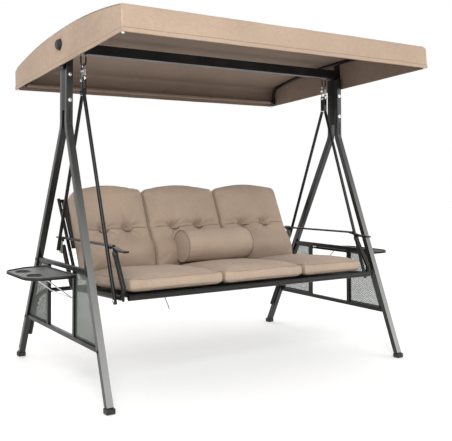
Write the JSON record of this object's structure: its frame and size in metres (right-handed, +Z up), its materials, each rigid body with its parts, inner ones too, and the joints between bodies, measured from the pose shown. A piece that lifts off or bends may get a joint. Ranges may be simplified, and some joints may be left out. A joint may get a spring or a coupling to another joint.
{
  "type": "canopy swing bench",
  "caption": "Free-standing swing bench with cushions and sling seat, hung by rods from an A-frame stand under a tilting cloth canopy, with fold-down side trays.",
  "frame": {"origin": "on the ground, in the middle of the object's box, under the top beam's centre", "axes": "+X runs along the bench, +Y points behind it, +Z is up; the bench faces -Y"},
  "size_m": [2.384, 1.4037, 1.8032],
  "materials": {
    "dark_steel": "satin dark grey powder coat",
    "black_plastic": "matt black moulded plastic",
    "bright_hardware": "bright zinc plate",
    "grey_bracket": "satin grey",
    "canopy_cloth": "tan woven polyester",
    "cushion_cloth": "tan woven polyester, padded",
    "sling_cloth": "dark woven sling",
    "mesh_cloth": "grey-green open mesh",
    "tie_cloth": "twisted tan cord"
  },
  "bodies": {
    "stand": {"leg_front_left": "dark_steel", "leg_front_right": "dark_steel", "leg_rear_left": "dark_steel", "leg_rear_right": "dark_steel", "foot_cap_front_left": "black_plastic", "foot_cap_front_right": "black_plastic", "foot_cap_rear_left": "black_plastic", "foot_cap_rear_right": "black_plastic", "top_beam": "dark_steel", "beam_post_left": "dark_steel", "beam_post_right": "dark_steel", "side_frame_left": "dark_steel", "side_frame_right": "dark_steel", "mesh_panel_front_left": "mesh_cloth", "mesh_panel_front_right": "mesh_cloth", "mesh_panel_rear_left": "mesh_cloth", "mesh_panel_rear_right": "mesh_cloth", "u_bolt_left": "black_plastic", "u_bolt_right": "black_plastic", "rear_stretcher": "dark_steel"},
    "canopy": {"canopy_cover": "canopy_cloth", "canopy_arch_left": "dark_steel", "canopy_arch_right": "dark_steel", "canopy_front_rail": "dark_steel", "canopy_rear_rail": "dark_steel"},
    "swing": {"spring_hook_left": "bright_hardware", "spring_hook_right": "bright_hardware", "hanger_clevis_left": "dark_steel", "hanger_clevis_right": "dark_steel", "hanger_rod_front_left": "dark_steel", "hanger_rod_front_right": "dark_steel", "hanger_rod_rear_left": "dark_steel", "hanger_rod_rear_right": "dark_steel", "rod_bracket_left": "grey_bracket", "rod_bracket_right": "grey_bracket", "seat_side_tube_left": "dark_steel", "seat_side_tube_right": "dark_steel", "seat_front_rail": "dark_steel", "seat_rear_rail": "dark_steel", "armrest_left": "dark_steel", "armrest_right": "dark_steel", "seat_sling": "sling_cloth", "seat_cushion_left": "cushion_cloth", "seat_cushion_middle": "cushion_cloth", "seat_cushion_right": "cushion_cloth", "bolster_pillow": "cushion_cloth", "cushion_tie": "tie_cloth"},
    "backrest": {"backrest_tube_left": "dark_steel", "backrest_tube_right": "dark_steel", "backrest_top_rail": "dark_steel", "backrest_sling": "sling_cloth", "back_cushion_left": "cushion_cloth", "back_cushion_middle": "cushion_cloth", "back_cushion_right": "cushion_cloth"},
    "tilt_knob_left": {"tilt_knob_left": "black_plastic"},
    "tilt_knob_right": {"tilt_knob_right": "black_plastic"},
    "tray_left": {"tray_left": "black_plastic"},
    "tray_brace_left": {"tray_brace_left": "bright_hardware"},
    "tray_right": {"tray_right": "black_plastic"},
    "tray_brace_right": {"tray_brace_right": "bright_hardware"}
  },
  "joints": [
    {"name": "canopy_tilt", "type": "hinge", "parent": "stand", "child": "canopy", "pos_m": [0, 0, 1.712], "axis": [1, 0, 0], "range_deg": [-20.8, 29.2]},
    {"name": "swing_hang", "type": "hinge", "parent": "stand", "child": "swing", "pos_m": [0, 0, 1.622], "axis": [1, 0, 0], "range_deg": [-20, 20]},
    {"name": "backrest_recline", "type": "hinge", "parent": "swing", "child": "backrest", "pos_m": [0, 0.24, 0.49], "axis": [1, 0, 0], "range_deg": [-40, 0]},
    {"name": "tilt_knob_left_turn", "type": "hinge", "parent": "stand", "child": "tilt_knob_left", "pos_m": [-0.958, 0, 1.712], "axis": [1, 0, 0], "range_deg": [0, 360]},
    {"name": "tilt_knob_right_turn", "type": "hinge", "parent": "stand", "child": "tilt_knob_right", "pos_m": [0.958, 0, 1.712], "axis": [1, 0, 0], "range_deg": [0, 360]},
    {"name": "tray_left_fold", "type": "hinge", "parent": "stand", "child": "tray_left", "pos_m": [-0.938, 0, 0.556], "axis": [0, -1, 0], "range_deg": [0, 90]},
    {"name": "tray_brace_left_fold", "type": "hinge", "parent": "stand", "child": "tray_brace_left", "pos_m": [-0.936, 0, 0.452], "axis": [0, -1, 0], "range_deg": [0, 127.2]},
    {"name": "tray_right_fold", "type": "hinge", "parent": "stand", "child": "tray_right", "pos_m": [0.938, 0, 0.556], "axis": [0, 1, 0], "range_deg": [0, 90]},
    {"name": "tray_brace_right_fold", "type": "hinge", "parent": "stand", "child": "tray_brace_right", "pos_m": [0.936, 0, 0.452], "axis": [0, 1, 0], "range_deg": [0, 127.2]}
  ],
  "couplings": [
    {"joint": "tray_brace_left_fold", "follows": "tray_left_fold", "ratio": 1.4133},
    {"joint": "tray_brace_right_fold", "follows": "tray_right_fold", "ratio": 1.4133}
  ]
}
